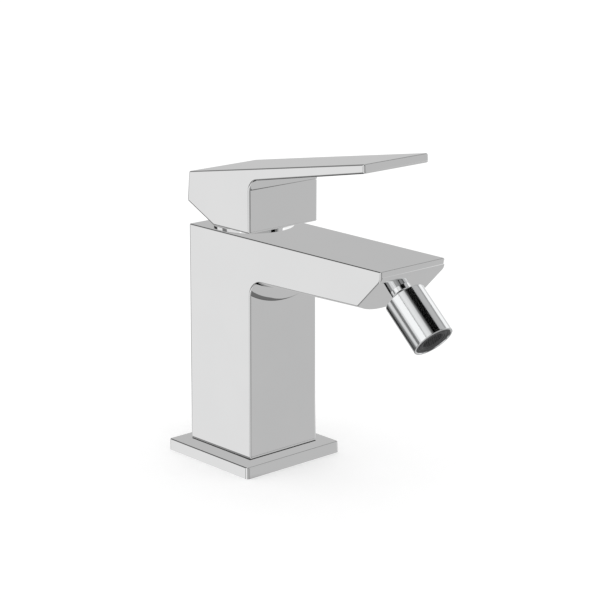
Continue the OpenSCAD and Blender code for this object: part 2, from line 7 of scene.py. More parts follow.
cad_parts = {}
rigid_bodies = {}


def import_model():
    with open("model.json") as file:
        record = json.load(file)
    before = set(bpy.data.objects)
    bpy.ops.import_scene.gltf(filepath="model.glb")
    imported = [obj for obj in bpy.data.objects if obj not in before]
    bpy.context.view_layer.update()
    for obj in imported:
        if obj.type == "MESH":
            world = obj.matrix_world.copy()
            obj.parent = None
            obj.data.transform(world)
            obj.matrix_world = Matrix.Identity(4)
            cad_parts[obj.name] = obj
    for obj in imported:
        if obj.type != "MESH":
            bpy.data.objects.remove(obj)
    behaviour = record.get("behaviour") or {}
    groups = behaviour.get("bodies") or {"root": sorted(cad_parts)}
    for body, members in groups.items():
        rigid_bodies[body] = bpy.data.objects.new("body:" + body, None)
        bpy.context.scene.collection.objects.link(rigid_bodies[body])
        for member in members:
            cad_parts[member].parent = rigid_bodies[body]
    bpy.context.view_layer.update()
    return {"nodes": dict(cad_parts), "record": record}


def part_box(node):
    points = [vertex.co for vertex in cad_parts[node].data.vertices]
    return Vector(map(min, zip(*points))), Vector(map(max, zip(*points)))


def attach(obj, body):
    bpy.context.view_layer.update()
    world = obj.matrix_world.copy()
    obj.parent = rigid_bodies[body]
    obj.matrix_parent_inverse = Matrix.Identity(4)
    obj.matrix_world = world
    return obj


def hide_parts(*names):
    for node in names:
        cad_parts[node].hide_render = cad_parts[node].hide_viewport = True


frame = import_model()
mm = 0.001


# Studio
# The tap stands on a plain pale floor in even white light. What the chrome shows is a studio of pale
# walls and dark cards, fixed in the world and set by direction, in degrees: psi is the turn from the
# photograph's place, to the right as seen from there, and el the height.

class Wire:
    """A shader socket that takes part in Python expressions, each of which adds Math nodes."""

    def __init__(self, tree, socket):
        self.tree = tree
        self.socket = socket

    def math(self, operation, *others):
        node = self.tree.nodes.new("ShaderNodeMath")
        node.operation = operation
        for slot, value in zip(node.inputs, (self,) + others):
            plug(self.tree, slot, value)
        return Wire(self.tree, node.outputs[0])

    def __add__(self, other):
        return self.math("ADD", other)

    def __radd__(self, other):
        return self.math("ADD", other)

    def __sub__(self, other):
        return self.math("SUBTRACT", other)

    def __rsub__(self, other):
        return value_wire(self.tree, other).math("SUBTRACT", self)

    def __mul__(self, other):
        return self.math("MULTIPLY", other)

    def __rmul__(self, other):
        return self.math("MULTIPLY", other)

    def __truediv__(self, other):
        return self.math("DIVIDE", other)

    def rise(self, start, end):
        """0 below start, 1 above end, smooth between."""
        return add(self.tree, "ShaderNodeMapRange", {"interpolation_type": "SMOOTHSTEP"},
                   {"Value": self, "From Min": start, "From Max": end})

    def over(self, value, mask):
        """This value, with another laid over it where the mask is 1."""
        return self * (1 - mask) + mask * value


def plug(tree, slot, value):
    if isinstance(value, Wire):
        tree.links.new(value.socket, slot)
    else:
        slot.default_value = value


def value_wire(tree, number):
    node = tree.nodes.new("ShaderNodeValue")
    node.outputs[0].default_value = number
    return Wire(tree, node.outputs[0])


def add(tree, kind, settings=None, inputs=None, output=0):
    """Adds a node: its settings first, then the values or links of its sockets."""
    node = tree.nodes.new(kind)
    for name, value in (settings or {}).items():
        setattr(node, name, value)
    for name, value in (inputs or {}).items():
        plug(tree, node.inputs[name], value)
    return Wire(tree, node.outputs[output])


def clear_tree(owner):
    owner.use_nodes = True
    owner.node_tree.nodes.clear()
    return owner.node_tree


# The camera stands where the photograph's perspective puts it
camera_at = Vector((-634.724, -737.608, 342.396)) * mm
camera_ahead = Vector((0.6478, 0.7163, -0.2595)).normalized()
camera_right = camera_ahead.cross(Vector((0, 0, 1))).normalized()
camera_up = camera_right.cross(camera_ahead)
camera = bpy.data.objects.new("camera", bpy.data.cameras.new("camera"))
camera.data.sensor_width = 36
camera.data.lens = 118.576
camera.data.clip_start = 0.05
camera.data.clip_end = 50
turn = Matrix((camera_right, camera_up, -camera_ahead)).transposed()
camera.matrix_world = Matrix.Translation(camera_at) @ turn.to_4x4()
bpy.context.collection.objects.link(camera)
bpy.context.scene.camera = camera
bpy.context.scene.view_settings.view_transform = "Standard"


def directions(tree):
    """The angles psi and el of a ray that leaves the tap."""
    direction = Wire(tree, tree.nodes.new("ShaderNodeTexCoord").outputs["Generated"])

    def along(vector):
        return add(tree, "ShaderNodeVectorMath", {"operation": "DOT_PRODUCT"},
                   {0: direction, 1: vector}, "Value")

    toward = Vector((-camera_ahead.x, -camera_ahead.y, 0)).normalized()
    psi = along(camera_right).math("ARCTAN2", along(toward)) * math.degrees(1)
    return psi, along((0, 0, 1)).math("ARCSINE") * math.degrees(1)


def between(angle, low, high, soft=3):
    """1 from low to high, with edges as wide as soft."""
    above_low = angle.rise(low - soft / 2, low + soft / 2)
    return above_low * (1 - angle.rise(high - soft / 2, high + soft / 2))


def below(angle, limit, soft=3):
    """1 under the limit, with an edge as wide as soft."""
    return 1 - (angle - limit).rise(-soft / 2, soft / 2)


def studio_light(tree, psi, el):
    """How bright the studio is in each direction, fixed in the world and the same for every view."""
    grey = 0.50
    light = value_wire(tree, grey)
    # The wall to the left, with a white screen before it, greyer under the horizon
    light = light.over(0.76, between(psi, -118, -8))
    screen_end = -47 + (29 - el) * 0.43
    light = light.over(1.06, between(psi, -74, 60) * below(psi, screen_end, 1.5))
    light = light.over(0.74, between(psi, -74, -34, 6) * between(el, -40, 4, 6))
    light = light.over(0.88, between(psi, -44, -30, 12) * el.rise(28, 38))
    light = light.over(0.22, between(psi - screen_end, 0, 2.8, 0.8) * el.rise(18, 30))
    stripe = psi.rise(-90.5, -86.5) * below(psi + (el + 4) * 0.35, -75.5, 4)
    light = light.over(0.19, stripe * below(el, 32, 14))
    # A card beside the camera: mid grey low down, with a black strip, and dark overhead
    card_end = 67 + (el + 13) * 0.17
    light = light.over(0.13, between(psi, -17, 80, 8))
    light = light.over(0.0, psi.rise(-8, 0) * below(psi, card_end, 3) * el.rise(14, 22))
    light = light.over(0.24, between(psi, -8, 67, 4) * between(el, 16, 51, 3))
    light = light.over(0.02, between(psi, 22, 34, 3) * between(el, 22, 31, 4))
    light = light.over(0.38, between(psi, -14, 66, 8) * below(el, 18, 8))
    light = light.over(0.0, between(psi, 53, 66, 3) * between(el, -18, -10, 2.5))
    # The grey wall to the right, then a white one, greyer about the horizon
    light = light.over(grey, (psi - card_end).rise(2, 13) * below(psi, 168, 4))
    right_start = 92 + (el + 13) * 0.77
    right_top = 34 - (psi - 127) * 0.5
    wall_width = (psi - right_start).rise(-1.5, 1.5) * below(psi, 168, 5)
    light = light.over(1.05, wall_width * below(el, right_top, 1.5) * el.rise(-19.5, -17.5))
    light = light.over(0.70, between(psi, 100, 160, 12) * between(el, -12.5, 12, 3))
    light = light.over(0.25, between(el - right_top, 0.3, 2.6, 1) * between(psi, 108, 150))
    light = light.over(0.53, between(psi, 100, 150, 14) * el.rise(40, 44))
    light = light.over(0.15, between(psi, 124, 162, 8) * between(el, 42, 53, 4))
    # Far behind the tap: grey above the horizon, pale at it
    far = psi.math("ABSOLUTE").rise(166, 172)
    light = light.over(grey, far * el.rise(1, 6))
    light = light.over(0.565, far * between(el, -7, 4, 4))
    light = light.over(0.95, psi.rise(166, 170) * between(el, -21, -8, 4))
    # Left of far behind: two black strips low down, and a dark card overhead
    light = light.over(0.03, between(psi, -128, -110, 6) * between(el, -18, -11, 2.5))
    light = light.over(0.02, between(psi, -153, -124, 5) * between(el, -31, -24, 3))
    light = light.over(0.18, between(psi, -166, -99, 8) * between(el, 20, 64, 12))
    light = light.over(0.03, between(psi, -162, -99, 8) * between(el, 40, 64, 8))
    # The floor's side of the studio: dark from the left round to the card, else grey
    light = light.over(0.13, between(psi, -125, -58, 10) * below(el, -23.5, 7))
    light = light.over(0.28, below(psi, -40, 20) * below(el, -34, 5))
    light = light.over(0.46, below(el, -52, 3) * (1 - below(psi, 0, 8)))
    light = light.over(0.08, between(psi, 60, 87.5) * between(el, -25, -20.4, 1.2))
    floor_edge = (el.math("MINIMUM", -37) + 37) * 1.04 + 87.6
    dark_floor = below(psi - floor_edge, 0, 2) * psi.rise(50, 56)
    light = light.over(0.15, dark_floor * between(el, -51, -23, 2))
    light = light.over(grey, (1 - dark_floor) * below(el, -23, 1) * psi.rise(50, 56))
    light = light.over(grey, below(el, -64, 5))
    light = light.over(0.0, below(psi, -92, 10) * below(el, -50, 4))
    return light.over(0.30, el.rise(68, 76))


world = bpy.data.worlds.new("studio")
bpy.context.scene.world = world
world_tree = clear_tree(world)
rays = world_tree.nodes.new("ShaderNodeLightPath")
is_glossy = Wire(world_tree, rays.outputs["Is Glossy Ray"])
plain_white = value_wire(world_tree, 1.0)
studio = studio_light(world_tree, *directions(world_tree))
studio_background = add(world_tree, "ShaderNodeBackground", None,
                        {"Color": plain_white.over(studio, is_glossy)})
world_output = world_tree.nodes.new("ShaderNodeOutputWorld")
world_tree.links.new(studio_background.socket, world_output.inputs["Surface"])
world.cycles.sampling_method = "NONE"


def mesh_object(name, mesh):
    piece = bpy.data.objects.new(name, mesh)
    bpy.context.collection.objects.link(piece)
    return piece


def material(name, shade):
    """A material whose nodes are made by shade(tree), which returns the Principled shader."""
    made = bpy.data.materials.new(name)
    tree = clear_tree(made)
    shader = shade(tree)
    output = tree.nodes.new("ShaderNodeOutputMaterial")
    tree.links.new(shader.socket, output.inputs["Surface"])
    return made


def object_coordinates(tree):
    return Wire(tree, tree.nodes.new("ShaderNodeTexCoord").outputs["Object"])


def mix_colour(tree, factor, first, second):
    node = tree.nodes.new("ShaderNodeMix")
    node.data_type = "RGBA"
    plug(tree, node.inputs[0], factor)
    plug(tree, node.inputs[6], first)
    plug(tree, node.inputs[7], second)
    return Wire(tree, node.outputs[2])


def noise(tree, scale, detail=3.0):
    return add(tree, "ShaderNodeTexNoise", None,
               {"Vector": object_coordinates(tree), "Scale": scale, "Detail": detail})


def floor_shade(tree):
    """Pale paint, with a glow for the camera alone that lifts it to white and leaves the shadow."""
    paint = mix_colour(tree, noise(tree, 40.0).rise(0.3, 0.7),
                       (0.745, 0.745, 0.745, 1), (0.755, 0.755, 0.755, 1))
    diffuse = add(tree, "ShaderNodeBsdfDiffuse", None, {"Color": paint})
    rays = tree.nodes.new("ShaderNodeLightPath")
    strength = Wire(tree, rays.outputs["Is Camera Ray"]) * 0.33
    glow = add(tree, "ShaderNodeEmission", None, {"Color": (1, 1, 1, 1), "Strength": strength})
    both = tree.nodes.new("ShaderNodeAddShader")
    tree.links.new(diffuse.socket, both.inputs[0])
    tree.links.new(glow.socket, both.inputs[1])
    return Wire(tree, both.outputs[0])


floor_mesh = bpy.data.meshes.new("floor")
floor_side = 3.0
floor_drop = 0.00002
floor_corners = [(x * floor_side, y * floor_side, -floor_drop)
                 for x, y in ((-1, -1), (1, -1), (1, 1), (-1, 1))]
floor_mesh.from_pydata(floor_corners, [], [(0, 1, 2, 3)])
floor = mesh_object("floor", floor_mesh)
floor.data.materials.append(material("floor_paint", floor_shade))
floor.visible_glossy = False


# Base plate
# A square plate of chromed brass with softened edges, which covers the hole in the deck. The column
# stands on it, and its underside holds a flat rubber gasket.

def smooth_mesh(mesh, angle=28):
    """Rounds the shading over edges flatter than the angle and keeps flat faces flat."""
    mesh.polygons.foreach_set("use_smooth", [True] * len(mesh.polygons))
    mesh.set_sharp_from_angle(angle=math.radians(angle))
    mesh.update()


def applied(piece):
    """Turns a piece with modifiers into a plain mesh."""
    graph = bpy.context.evaluated_depsgraph_get()
    mesh = bpy.data.meshes.new_from_object(piece.evaluated_get(graph), depsgraph=graph)
    piece.modifiers.clear()
    piece.data = mesh
    return piece


def weighted(piece):
    """Leans the normals of narrow rounds towards the broad faces beside them."""
    smooth_mesh(piece.data, 42)
    weight = piece.modifiers.new("weight", "WEIGHTED_NORMAL")
    weight.keep_sharp = True
    weight.weight = 60
    return applied(piece)


def rounded(piece, radius, segments=4, share=None):
    """Rounds the edges sharper than 24 degrees. share(start, end) gives an edge's part of the radius."""
    form = bmesh.new()
    form.from_mesh(piece.data)
    weight = form.edges.layers.float.new("bevel_weight_edge")
    for edge in form.edges:
        if edge.calc_face_angle() > math.radians(24):
            edge[weight] = share(edge.verts[0].co, edge.verts[1].co) if share else 1.0
    form.to_mesh(piece.data)
    form.free()
    bevel = piece.modifiers.new("round", "BEVEL")
    bevel.width = radius
    bevel.segments = segments
    bevel.limit_method = "WEIGHT"
    bevel.use_clamp_overlap = False
    return applied(piece)


def cut(piece, tool):
    """Cuts the tool's shape out of the piece and throws the tool away."""
    boolean = piece.modifiers.new("cut", "BOOLEAN")
    boolean.operation = "DIFFERENCE"
    boolean.solver = "EXACT"
    boolean.object = tool
    applied(piece)
    bpy.data.objects.remove(tool)
    return piece


def extruded(name, outline, low, high, place):
    """A prism over an outline of (a, b) points; place(a, b, height) gives each point's position."""
    form = bmesh.new()
    rings = [[form.verts.new(place(a, b, h)) for a, b in outline] for h in (low, high)]
    count = len(outline)
    for i in range(count):
        j = (i + 1) % count
        form.faces.new((rings[0][i], rings[0][j], rings[1][j], rings[1][i]))
    form.faces.new(rings[0])
    form.faces.new(rings[1])
    bmesh.ops.recalc_face_normals(form, faces=form.faces)
    mesh = bpy.data.meshes.new(name)
    form.to_mesh(mesh)
    form.free()
    return mesh_object(name, mesh)


def upright(a, b, h):
    return (a, b, h)


def rounded_outline(points, radii, steps=5):
    """A closed outline of (a, b) points with each corner turned into an arc of its radius."""
    result = []
    count = len(points)
    for i, (corner, radius) in enumerate(zip(points, radii)):
        here = Vector(corner)
        back = (Vector(points[i - 1]) - here).normalized()
        ahead = (Vector(points[(i + 1) % count]) - here).normalized()
        half = back.angle(ahead) / 2
        if radius <= 0 or half > math.radians(89):
            result.append(tuple(here))
            continue
        reach = radius / math.tan(half)
        centre = here + (back + ahead).normalized() * (radius / math.sin(half))
        first = here + back * reach - centre
        last = here + ahead * reach - centre
        swing = first.angle_signed(last)
        for k in range(steps + 1):
            turned = first.copy()
            turned.rotate(Matrix.Rotation(-swing * k / steps, 2))
            result.append(tuple(centre + turned))
    return result


def turned_piece(name, outline, place=Matrix(), segments=96):
    """A closed (radius, height) outline, turned round the +Z axis and put in place."""
    form = bmesh.new()
    rings = []
    for k in range(segments):
        a = 2 * math.pi * k / segments
        rings.append([(r * math.cos(a), r * math.sin(a), h) for r, h in outline])
    verts = [[form.verts.new(p) for p in ring] for ring in rings]
    count = len(outline)
    for k in range(segments):
        ring, following = verts[k], verts[(k + 1) % segments]
        for i in range(count):
            j = (i + 1) % count
            if outline[i][0] < 1e-7 and outline[j][0] < 1e-7:
                continue
            form.faces.new((ring[i], ring[j], following[j], following[i]))
    bmesh.ops.remove_doubles(form, verts=form.verts, dist=1e-6)
    bmesh.ops.dissolve_degenerate(form, edges=form.edges, dist=1e-7)
    bmesh.ops.recalc_face_normals(form, faces=form.faces)
    form.transform(place)
    mesh = bpy.data.meshes.new(name)
    form.to_mesh(mesh)
    form.free()
    smooth_mesh(mesh)
    return mesh_object(name, mesh)


def dress(piece, made, body, slot, *nodes):
    """Gives a finished piece its material and its body, and hides the CAD nodes it stands for. The slot is
    not used.
    """
    piece.data.materials.clear()
    piece.data.materials.append(made)
    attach(piece, body)
    if nodes:
        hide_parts(*nodes)


def chrome(name, seed):
    """Bright chrome plate: almost a mirror, with the faint cloud that wiping leaves."""
    def shade(tree):
        spot = add(tree, "ShaderNodeVectorMath", {"operation": "ADD"},
                   {0: object_coordinates(tree), 1: (seed, seed * 0.7, -seed)})
        cloud = add(tree, "ShaderNodeTexNoise", None, {"Vector": spot, "Scale": 38.0, "Detail": 4.0})
        grain = add(tree, "ShaderNodeTexNoise", None, {"Vector": spot, "Scale": 900.0, "Detail": 2.0})
        colour = mix_colour(tree, cloud.rise(0.35, 0.7), (0.950, 0.952, 0.954, 1), (0.962, 0.963, 0.964, 1))
        bump = add(tree, "ShaderNodeBump", None,
                   {"Strength": 0.006, "Distance": 0.0002, "Height": grain})
        return add(tree, "ShaderNodeBsdfPrincipled", None, {
            "Base Color": colour,
            "Metallic": 1.0,
            "Roughness": 0.008 + 0.012 * cloud.rise(0.3, 0.8),
            "Normal": bump,
        })
    return material(name, shade)


fit_gap = 0.05 * mm
plate_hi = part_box("base_plate")[1]
plate_side = plate_hi.x + 0.3 * mm
plate_corner = 1.7 * mm
plate_edge = 0.8 * mm
plate_sink = 3 * mm
plate_corners = [(-plate_side, -plate_side), (plate_side, -plate_side),
                 (plate_side, plate_side), (-plate_side, plate_side)]
base_plate = extruded("base_plate_shell", plate_corners, -plate_sink, plate_hi.z, upright)
rounded(base_plate, plate_corner, 5,
        lambda a, b: 1.0 if abs(a.z - b.z) > mm else plate_edge / plate_corner)
# What lies under the floor is sawn off, so the lowest edges stay sharp
sawn_off = [(a * 1.1, b * 1.1) for a, b in plate_corners]
cut(base_plate, extruded("sawn_off", sawn_off, -2 * plate_sink, 0.0, upright))
boss_radius = 17.25 * mm
hole_outline = [(0, -2 * mm), (boss_radius + fit_gap, -2 * mm), (boss_radius + fit_gap, 8 * mm), (0, 8 * mm)]
cut(base_plate, turned_piece("plate_hole", hole_outline))
gasket_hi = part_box("base_gasket")[1]
gasket_width = 4 * mm
groove_outline = [(gasket_hi.x - gasket_width, -1 * mm), (gasket_hi.x + fit_gap, -1 * mm),
                  (gasket_hi.x + fit_gap, gasket_hi.z), (gasket_hi.x - gasket_width, gasket_hi.z)]
cut(base_plate, turned_piece("plate_groove", groove_outline))
weighted(base_plate)
dress(base_plate, chrome("plate_chrome", 3.1), "root", "plate_chrome", "base_plate")


# Body casting
# Column and spout are one brass casting, ground flat, polished and chromed. The flanks lean in a
# little towards the top and the nose, and the spout's underside is rounded across its width. The
# cartridge's bore is machined from the top, and the column is hollow for the hoses.

body_lo, body_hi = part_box("body_casting")
round_allowance = 0.25 * mm
body_half = body_hi.x + round_allowance
column_half = body_hi.y + round_allowance
body_top = body_hi.z
foot_z = plate_hi.z
nose_y = body_lo.y
nose_height = 4.5 * mm
slope_drop = 13.95 * mm
slope_top = body_top - nose_height
slope_foot = slope_top - slope_drop
slope_foot_y = nose_y + slope_drop
draft = math.tan(math.radians(0.29))
taper = math.tan(math.radians(0.49))
under_rise = math.tan(math.radians(1.67))
under_sag = 5.8 * mm
under_half = body_half - (column_half - slope_foot_y) * taper
under_radius = (under_half ** 2 + under_sag ** 2) / (2 * under_sag)
inner_radius = 8.8 * mm
body_edge = 0.8 * mm
under_edge = 0.2 * mm
foot_edge = 1.4 * mm
nose_round = 4.5 * mm
# The height of the gap under the column's foot, which a black sheet fills as painted shade
shade_gap_height = 0.3 * mm


def sag(x):
    """How far the rounded underside hangs below its side edges, at x."""
    return math.sqrt(under_radius ** 2 - x * x) - (under_radius - under_sag)


def under_z(x, y):
    return slope_foot + (slope_foot_y - y) * under_rise - sag(x)


def body_sides(y, z):
    return body_half - (z - foot_z) * draft - (column_half - y) * taper


def slope_meets_underside(x):
    """Where the sloping face ends in the rounded underside, at x."""
    y = slope_foot_y
    for _ in range(12):
        y = slope_foot_y + (slope_foot - under_z(x, y))
    return y, under_z(x, y)


def underside(y):
    return lambda x: (y, under_z(x, y))


def inner_corner(angle):
    y0 = -column_half - inner_radius
    drop = inner_radius * (1 - math.cos(angle))
    return lambda x: (y0 + inner_radius * math.sin(angle), under_z(x, y0) - drop)


def fixed(y, z):
    return lambda x: (y, z)


def wrapped_block(name, stations, sides, columns, creases=()):
    """A closed block: a band of stations, each (y, z) at a given x, between two flat flanks.
    Each crease is a pair of stations that an edge joins across both flanks."""
    form = bmesh.new()
    nominal = sides(*stations[0](0))
    grid = []
    for station in stations:
        row = []
        for k in range(columns + 1):
            u = 2 * k / columns - 1
            y, z = station(u * nominal)
            for _ in range(3):
                x = u * sides(y, z)
                y, z = station(x)
            row.append(form.verts.new((x, y, z)))
        grid.append(row)
    count = len(grid)
    for i in range(count):
        j = (i + 1) % count
        for k in range(columns):
            form.faces.new((grid[i][k], grid[j][k], grid[j][k + 1], grid[i][k + 1]))
    loops = [list(range(count))]
    for a, b in creases:
        whole = loops.pop()
        loops.append([i for i in whole if a <= i <= b])
        loops.append([i for i in whole if i <= a or i >= b])
    for k in (0, columns):
        for loop in loops:
            form.faces.new([grid[i][k] for i in loop])
    bmesh.ops.recalc_face_normals(form, faces=form.faces)
    mesh = bpy.data.meshes.new(name)
    form.to_mesh(mesh)
    form.free()
    return mesh_object(name, mesh)


def nose_corner(angle):
    height = slope_top + nose_round * math.tan(math.radians(22.5))
    return fixed(nose_y + nose_round * (1 - math.cos(angle)), height - nose_round * math.sin(angle))


def body_rounds(start, end):
    """Each edge's part of the foot's radius: finest along the underside, and full round the back."""
    middle = (start + end) / 2
    if middle.z < foot_z + 2 * shade_gap_height or (abs(start.z - end.z) > mm and middle.y > 0):
        return 1.0
    past_corner = (-column_half - inner_radius - middle.y) / inner_radius + 1
    if middle.y < slope_foot_y + mm or middle.z > slope_foot + 6 * mm:
        past_corner = 0
    blend = min(1.0, max(0.0, past_corner))
    return (body_edge + (under_edge - body_edge) * blend) / foot_edge


nose_steps = 6
straight_from = slope_foot_y + 8 * mm
straight_to = -column_half - inner_radius
straight_steps = 6
corner_steps = 14
body_stations = [
    fixed(column_half, foot_z + shade_gap_height),
    fixed(column_half, body_top),
    fixed(nose_y, body_top),
]
body_stations += [nose_corner(math.radians(45) * i / nose_steps) for i in range(nose_steps + 1)]
body_stations.append(slope_meets_underside)
body_stations += [underside(straight_from + (straight_to - straight_from) * i / straight_steps)
                  for i in range(straight_steps)]
body_stations += [inner_corner(math.radians(90) * i / corner_steps) for i in range(corner_steps + 1)]
body_stations.append(fixed(-column_half, foot_z + shade_gap_height))
body_shell = wrapped_block("body_shell", body_stations, body_sides, 30)
rounded(body_shell, foot_edge, 5, body_rounds)

bore_radius = 17.7 * mm
nut_radius = 19 * mm
seat_z = 88.1 * mm
shoulder_z = 114 * mm
floor_of_core = 62.1 * mm
core_radius = 18 * mm
core_start = 12 * mm
service_radius = 15.2 * mm
bore_outline = [(0, seat_z), (bore_radius, seat_z), (bore_radius, shoulder_z), (nut_radius, shoulder_z),
                (nut_radius, body_top + 2 * mm), (0, body_top + 2 * mm)]
core_outline = [(0, foot_z - 1 * mm), (service_radius, foot_z - 1 * mm), (service_radius, core_start),
                (core_radius, core_start), (core_radius, floor_of_core), (0, floor_of_core)]
cut(body_shell, turned_piece("cartridge_bore", bore_outline))
cut(body_shell, turned_piece("hose_core", core_outline))
stud_hole = (0, 2, 4, 14)
inlet_holes = ((8.4, -5.5, 5, 12), (-8.4, -5.5, 5, 12))
for x, y, radius, depth in (stud_hole,) + inlet_holes:
    hole_outline = [(0, floor_of_core - 1 * mm), (radius * mm, floor_of_core - 1 * mm),
                    (radius * mm, floor_of_core + depth * mm), (0, floor_of_core + depth * mm)]
    cut(body_shell, turned_piece("thread_hole", hole_outline, Matrix.Translation((x * mm, y * mm, 0)), 48))
weighted(body_shell)
dress(body_shell, chrome("body_chrome", 0.0), "root", "body_chrome", "body_casting")

boss_foot = 0.02 * mm
boss_outline = [(service_radius, boss_foot), (boss_radius, boss_foot),
                (boss_radius, foot_z), (service_radius, foot_z)]
boss = turned_piece("body_boss", rounded_outline(boss_outline, [0.3 * mm, 0.5 * mm, 0, 0]))
boss.data.materials.append(bpy.data.materials["body_chrome"])
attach(boss, "root")


# Cover ring
# A turned brass ring, chromed, which hides the cartridge's nut in the gap under the handle. Its
# skirt goes down into the nut, where an O-ring holds it.

ring_lo, ring_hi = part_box("cover_ring")
ring_radius = ring_hi.x
ring_bore = 14.8 * mm
skirt_radius = 16 * mm
ring_soft = 0.25 * mm
ring_foot = body_top + 0.02 * mm
ring_outline = [(ring_bore, ring_lo.z), (skirt_radius, ring_lo.z), (skirt_radius, ring_foot),
                (ring_radius, ring_foot), (ring_radius, ring_hi.z), (ring_bore, ring_hi.z)]
ring_outline = rounded_outline(ring_outline, [0, 0.2 * mm, 0, ring_soft, ring_soft, ring_soft])
cover_ring = turned_piece("cover_ring_shell", ring_outline, segments=160)
weighted(cover_ring)
dress(cover_ring, chrome("ring_chrome", 5.2), "root", "ring_chrome", "cover_ring")


# Handle
# One casting, polished and chromed: a hollow block over the cartridge that runs out into a long flat
# lever. It sits on the stem in a square socket, and a set screw from the back holds it there.

handle_lo, handle_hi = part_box("handle")
handle_half = handle_hi.x + 0.45 * mm
handle_bottom = handle_lo.z
handle_front = -23.9 * mm
handle_back = handle_hi.y + 0.45 * mm
back_edge = handle_bottom + 9.3 * mm
back_top = handle_bottom + 24.6 * mm
back_top_y = handle_back - 1.5 * mm
turn_y = 4.6 * mm
top_slope = math.tan(math.radians(9.73))
lever_y = -102.3 * mm
tip_lean = 0.3 * mm
tip_half = 21.1 * mm
root_thickness = 6.2 * mm
tip_thickness = 4.5 * mm
lever_round = 6.5 * mm
handle_edge = 1.0 * mm
back_round = 1.6 * mm


def lever_top(y):
    return back_top + (back_top_y - y) * top_slope


root_z = lever_top(handle_front) - root_thickness
tip_z = lever_top(lever_y) - tip_thickness
tip_y = lever_y - tip_lean
lever_angle = math.atan2(tip_z - root_z, handle_front - tip_y)
round_y = handle_front - lever_round
round_z = root_z + lever_round * math.tan(lever_angle) - lever_round / math.cos(lever_angle)


lever_steps = 12
lever_sweep = math.radians(90) - lever_angle
crease_y = round_y + lever_round * math.cos(lever_sweep / 2)


def handle_sides(y, z):
    along = max(0.0, (crease_y - y) / (crease_y - tip_y))
    return handle_half + (tip_half - handle_half) * along


def lever_corner(angle):
    return fixed(round_y + lever_round * math.cos(angle), round_z + lever_round * math.sin(angle))


handle_stations = [
    fixed(handle_back, back_edge),
    fixed(back_top_y, back_top),
    fixed(crease_y, lever_top(crease_y)),
    fixed(lever_y, lever_top(lever_y)),
    fixed(tip_y, tip_z),
]
handle_stations += [lever_corner(lever_sweep * (1 - i / lever_steps)) for i in range(lever_steps + 1)]
handle_stations += [fixed(handle_front, handle_bottom), fixed(turn_y, handle_bottom)]
crease = (2, 5 + lever_steps // 2)
handle_shell = wrapped_block("handle_shell", handle_stations, handle_sides, 24, [crease])
rounded(handle_shell, back_round, 5,
        lambda a, b: 1.0 if abs(a.z - b.z) > mm and a.y + b.y > 2 * turn_y else handle_edge / back_round)

wall = 3.5 * mm
stem_y = 5 * mm
stem_half_w = 4 * mm
stem_half_d = 3 * mm
stem_top = handle_bottom + 18 * mm
socket_wall = 3.6 * mm
under = handle_bottom - 1 * mm
chamfer_angle = math.atan2(back_edge - handle_bottom, handle_back - turn_y)
wall_up = wall / math.cos(chamfer_angle)
hollow_outline = [
    (handle_front + wall, under),
    (handle_front + wall, lever_top(handle_front) - wall - root_thickness),
    (back_top_y - wall, lever_top(back_top_y) - wall - 1 * mm),
    (handle_back - wall, back_edge + wall_up),
    (turn_y - (wall_up + 1 * mm) / math.tan(chamfer_angle), under),
]


def across(a, b, h):
    return (h, a, b)


def box_outline(x0, y0, x1, y1):
    return [(x0, y0), (x1, y0), (x1, y1), (x0, y1)]


hollow = extruded("hollow", rounded_outline(hollow_outline, [0, 2 * mm, 2 * mm, 2 * mm, 0]),
                  wall - handle_half, handle_half - wall, across)
boss_box = box_outline(-stem_half_w - socket_wall, stem_y - stem_half_d - socket_wall,
                       stem_half_w + socket_wall, stem_y + stem_half_d + socket_wall + 3 * mm)
cut(hollow, extruded("boss", boss_box, under - 1 * mm, lever_top(0), upright))
cut(handle_shell, hollow)
socket_box = box_outline(-stem_half_w - fit_gap, stem_y - stem_half_d - fit_gap,
                         stem_half_w + fit_gap, stem_y + stem_half_d + fit_gap)
cut(handle_shell, extruded("socket", socket_box, under, stem_top + fit_gap, upright))
grub_lo, grub_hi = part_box("grub_screw")
plug_lo, plug_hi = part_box("screw_plug")
screw_z = (grub_lo.z + grub_hi.z) / 2
backwards = Matrix.Translation((0, 0, screw_z)) @ Matrix.Rotation(math.radians(-90), 4, "X")
screw_outline = [(0, stem_y), (grub_hi.x + fit_gap, stem_y), (grub_hi.x + fit_gap, plug_lo.y),
                 (plug_hi.x + fit_gap, plug_lo.y), (plug_hi.x + fit_gap, handle_back + 2 * mm),
                 (0, handle_back + 2 * mm)]
cut(handle_shell, turned_piece("screw_hole", screw_outline, backwards, 48))
weighted(handle_shell)
dress(handle_shell, chrome("handle_chrome", 8.4), "lever", "handle_chrome", "handle")


# Screw and plug
# The set screw, with a hexagon socket, keeps its CAD shape and gets the finish of its slot with the inner
# pieces. A plain grey plug, slightly domed, closes its hole in the handle's back.

def moulded(name, light, dark, rough, scale, relief=0.00004):
    """A moulded plastic or rubber: two close tones, uneven gloss and a fine skin."""
    def shade(tree):
        tone = noise(tree, scale)
        skin = noise(tree, scale * 14, 2.0)
        bump = add(tree, "ShaderNodeBump", None, {"Strength": 0.35, "Distance": relief, "Height": skin})
        return add(tree, "ShaderNodeBsdfPrincipled", None, {
            "Base Color": mix_colour(tree, tone.rise(0.35, 0.65), light + (1,), dark + (1,)),
            "Roughness": rough + 0.12 * tone.rise(0.3, 0.7),
            "Normal": bump,
        })
    return material(name, shade)


